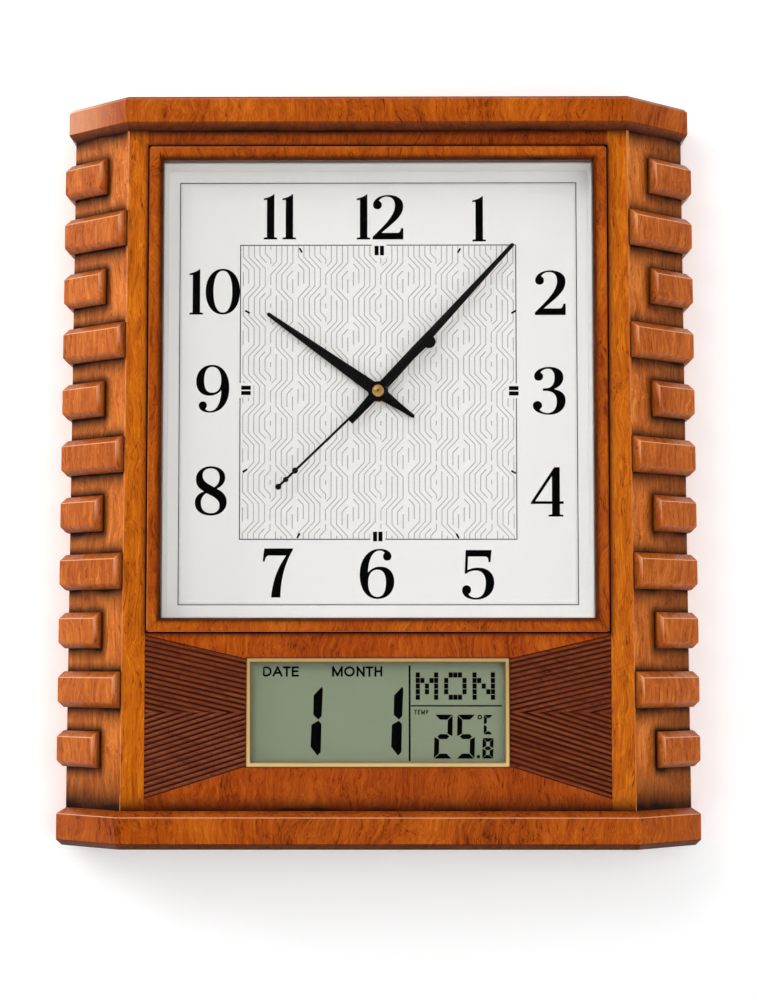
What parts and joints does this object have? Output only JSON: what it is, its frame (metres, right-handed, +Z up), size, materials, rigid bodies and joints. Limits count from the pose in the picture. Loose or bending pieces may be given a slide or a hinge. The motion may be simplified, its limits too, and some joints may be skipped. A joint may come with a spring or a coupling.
{
  "type": "wall clock with calendar display",
  "caption": "Wooden wall clock with slanted block-studded sides, a square glazed dial with sweep second hand, and a calendar display below between reeded wings.",
  "frame": {"origin": "centre of the hanging keyhole's round hole, on the wall plane", "axes": "+Z up, +X right seen from the front, +Y out of the back towards the wall; the dial faces -Y"},
  "size_m": [0.3244, 0.0586, 0.375],
  "materials": {
    "lacquered_wood": "orange-brown veneer under satin lacquer",
    "dark_stained_wood": "dark brown stain, satin",
    "bare_wood": "planed, unfinished",
    "hardboard": "smooth hardboard",
    "dial_glass": "clear float glass",
    "white_plastic": "white, smooth",
    "white_card": "printed white sheet",
    "black_enamel": "satin black enamel",
    "brass": "polished and lacquered",
    "grey_plastic": "fine moulded texture",
    "black_rubber": "matt",
    "wheel_plastic": "natural moulded",
    "magnet": "dull grey",
    "copper_wire": "enamelled winding",
    "plated_steel": "zinc plated",
    "circuit_board": "green solder mask",
    "cell_wrap": "printed film over steel",
    "clear_window": "clear acrylic",
    "display_cell": "grey-green display glass",
    "silicone": "layered silicone"
  },
  "bodies": {
    "case": {"top_cornice": "lacquered_wood", "base_plinth": "lacquered_wood", "front_top_rail": "lacquered_wood", "left_stile": "lacquered_wood", "right_stile": "lacquered_wood", "lower_panel": "lacquered_wood", "left_cheek": "lacquered_wood", "right_cheek": "lacquered_wood", "left_side": "lacquered_wood", "right_side": "lacquered_wood", "left_blocks": "lacquered_wood", "right_blocks": "lacquered_wood", "frame_top_rail": "lacquered_wood", "frame_bottom_rail": "lacquered_wood", "frame_left_rail": "lacquered_wood", "frame_right_rail": "lacquered_wood", "left_reeded_wing": "dark_stained_wood", "right_reeded_wing": "dark_stained_wood", "dial_glass": "dial_glass", "dial_surround": "white_plastic", "dial_plate": "white_card", "case_blocks": "bare_wood", "pan_screws": "plated_steel", "movement_case": "grey_plastic", "movement_cover": "grey_plastic", "movement_gasket": "black_rubber", "movement_nut": "brass", "train_plate": "grey_plastic", "coil": "copper_wire", "stator": "plated_steel", "movement_circuit": "circuit_board", "battery_cells": "cell_wrap", "battery_contacts": "plated_steel", "lcd_trim": "brass", "lcd_window": "clear_window", "lcd_panel": "display_cell", "zebra_strips": "silicone", "calendar_circuit": "circuit_board", "calendar_housing": "grey_plastic", "back_board": "hardboard", "hanger_rail": "bare_wood", "hanger_plate": "plated_steel", "countersunk_screws": "plated_steel", "wall_pads": "black_rubber"},
    "second_hand": {"second_wheel": "wheel_plastic", "second_hand": "black_enamel", "hand_cap": "brass"},
    "minute_hand": {"centre_wheel": "wheel_plastic", "minute_hand": "black_enamel"},
    "hour_hand": {"hour_wheel": "wheel_plastic", "hour_hand": "black_enamel"},
    "rotor": {"rotor": "magnet"},
    "intermediate_wheel": {"intermediate_wheel": "wheel_plastic"},
    "third_wheel": {"third_wheel": "wheel_plastic"},
    "motion_wheel": {"motion_wheel": "wheel_plastic"},
    "set_knob": {"set_knob": "grey_plastic"},
    "mode_button": {"mode_button": "black_rubber"},
    "plus_button": {"plus_button": "black_rubber"},
    "minus_button": {"minus_button": "black_rubber"},
    "calendar_door": {"calendar_door": "grey_plastic"}
  },
  "joints": [
    {"name": "second_spin", "type": "hinge", "parent": "case", "child": "second_hand", "pos_m": [0, -0.0287, -0.1077], "axis": [0, 1, 0], "continuous": true},
    {"name": "minute_spin", "type": "hinge", "parent": "case", "child": "minute_hand", "pos_m": [0, -0.0287, -0.1077], "axis": [0, 1, 0], "continuous": true},
    {"name": "hour_spin", "type": "hinge", "parent": "case", "child": "hour_hand", "pos_m": [0, -0.0287, -0.1077], "axis": [0, 1, 0], "continuous": true},
    {"name": "rotor_spin", "type": "hinge", "parent": "case", "child": "rotor", "pos_m": [-0.01243, -0.0287, -0.10611], "axis": [0, 1, 0], "continuous": true},
    {"name": "intermediate_spin", "type": "hinge", "parent": "case", "child": "intermediate_wheel", "pos_m": [-0.00648, -0.0287, -0.1077], "axis": [0, 1, 0], "continuous": true},
    {"name": "third_spin", "type": "hinge", "parent": "case", "child": "third_wheel", "pos_m": [0.00792, -0.0287, -0.1077], "axis": [0, 1, 0], "continuous": true},
    {"name": "motion_spin", "type": "hinge", "parent": "case", "child": "motion_wheel", "pos_m": [-0.00125, -0.0287, -0.10061], "axis": [0, 1, 0], "continuous": true},
    {"name": "knob_spin", "type": "hinge", "parent": "case", "child": "set_knob", "pos_m": [-0.0025, -0.0287, -0.09352], "axis": [0, 1, 0], "continuous": true},
    {"name": "mode_press", "type": "slide", "parent": "case", "child": "mode_button", "axis": [0, -1, 0], "range_m": [0, 0.0008], "stiffness_N_per_m": 800, "springref_m": -0.0005},
    {"name": "plus_press", "type": "slide", "parent": "case", "child": "plus_button", "axis": [0, -1, 0], "range_m": [0, 0.0008], "stiffness_N_per_m": 800, "springref_m": -0.0005},
    {"name": "minus_press", "type": "slide", "parent": "case", "child": "minus_button", "axis": [0, -1, 0], "range_m": [0, 0.0008], "stiffness_N_per_m": 800, "springref_m": -0.0005},
    {"name": "door_slide", "type": "slide", "parent": "case", "child": "calendar_door", "axis": [1, 0, 0], "range_m": [0, 0.058]}
  ],
  "couplings": [
    {"joint": "minute_spin", "follows": "second_spin", "ratio": 0.016667},
    {"joint": "hour_spin", "follows": "second_spin", "ratio": 0.0013889},
    {"joint": "rotor_spin", "follows": "second_spin", "ratio": 30},
    {"joint": "intermediate_spin", "follows": "second_spin", "ratio": -5},
    {"joint": "third_spin", "follows": "second_spin", "ratio": -0.125},
    {"joint": "motion_spin", "follows": "second_spin", "ratio": -0.0055556},
    {"joint": "knob_spin", "follows": "second_spin", "ratio": 0.016667}
  ]
}
